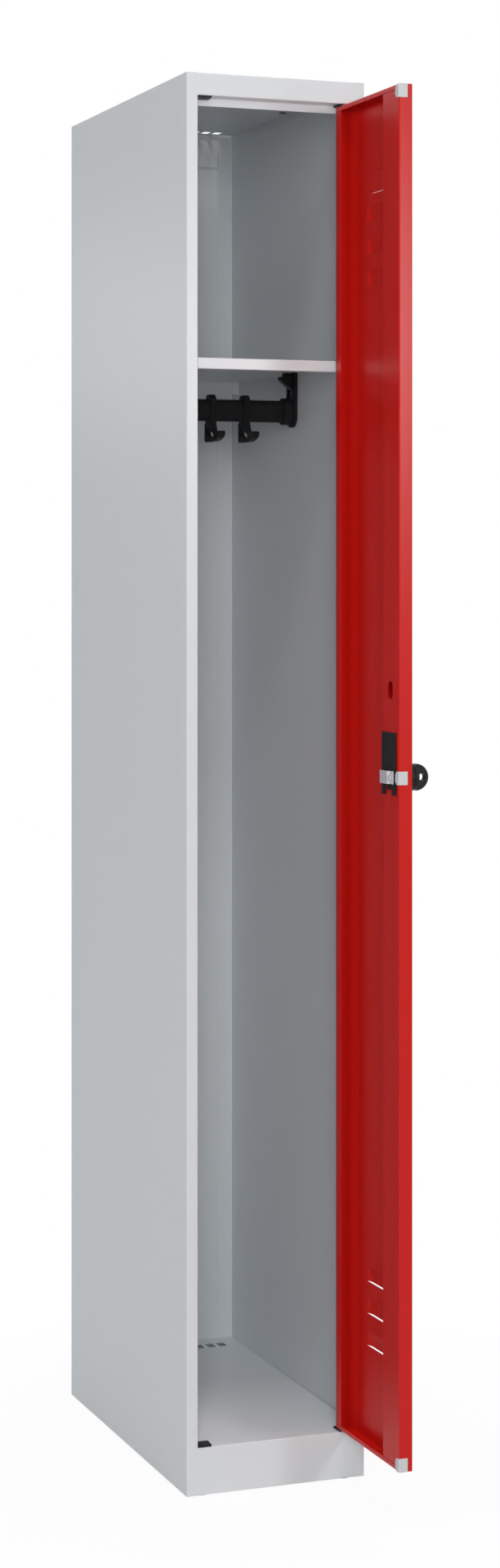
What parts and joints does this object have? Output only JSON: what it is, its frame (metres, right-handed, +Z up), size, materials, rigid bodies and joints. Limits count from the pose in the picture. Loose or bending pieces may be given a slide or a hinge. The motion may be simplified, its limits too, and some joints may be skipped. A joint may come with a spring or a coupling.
{
  "type": "clothing locker",
  "caption": "Tall narrow sheet-steel clothing locker: louvred hinged door with a rotary padlock latch, hat shelf, and a clothes rail with sliding coat hooks.",
  "frame": {"origin": "on the floor, under the middle of the whole object with its door standing open", "axes": "+Z up, -Y out of the cabinet's front, +X to the right as seen from the front"},
  "size_m": [0.2512, 0.7002, 1.8],
  "materials": {
    "grey_coat": "satin powder coat",
    "red_coat": "satin powder coat",
    "black_plastic": "moulded",
    "pale_rubber": "matte",
    "grey_plastic": "moulded",
    "zinc": "zinc plated"
  },
  "bodies": {
    "cabinet": {"left_side_panel": "grey_coat", "right_side_panel": "grey_coat", "rear_panel": "grey_coat", "roof_panel": "grey_coat", "floor_panel": "grey_coat", "hat_shelf": "grey_coat", "pivot_plate_bottom_left": "black_plastic", "pivot_plate_bottom_right": "black_plastic", "pivot_plate_top_left": "black_plastic", "pivot_plate_top_right": "black_plastic", "glide_front_left": "grey_plastic", "glide_front_right": "grey_plastic", "glide_rear_left": "grey_plastic", "glide_rear_right": "grey_plastic", "clothes_rail": "black_plastic", "rail_bracket_left": "black_plastic", "rail_bracket_right": "black_plastic"},
    "door": {"door_panel": "red_coat", "hinge_pin_bottom": "zinc", "hinge_pin_top": "zinc", "bumper_bottom": "pale_rubber", "bumper_middle": "pale_rubber", "bumper_top": "pale_rubber", "lock_body": "black_plastic", "lock_cover": "black_plastic", "lock_rosette": "black_plastic"},
    "latch": {"turn_handle": "black_plastic", "lock_spindle": "zinc", "latch_cam": "zinc", "cam_nut": "zinc"},
    "hook_left": {"coat_hook_left": "black_plastic"},
    "hook_middle": {"coat_hook_middle": "black_plastic"},
    "hook_right": {"coat_hook_right": "black_plastic"}
  },
  "joints": [
    {"name": "door_hinge", "type": "hinge", "parent": "cabinet", "child": "door", "pos_m": [0.0947, -0.14625, 0.9], "axis": [0, 0, 1], "range_deg": [-90, 25]},
    {"name": "latch_turn", "type": "hinge", "parent": "door", "child": "latch", "pos_m": [0.0947, -0.33045, 0.9165], "axis": [1, 0, 0], "range_deg": [0, 180]},
    {"name": "hook_left_slide", "type": "slide", "parent": "cabinet", "child": "hook_left", "axis": [1, 0, 0], "range_m": [-0.048, 0.018]},
    {"name": "hook_middle_slide", "type": "slide", "parent": "cabinet", "child": "hook_middle", "axis": [1, 0, 0], "range_m": [-0.018, 0.018]},
    {"name": "hook_right_slide", "type": "slide", "parent": "cabinet", "child": "hook_right", "axis": [1, 0, 0], "range_m": [-0.018, 0.048]}
  ]
}
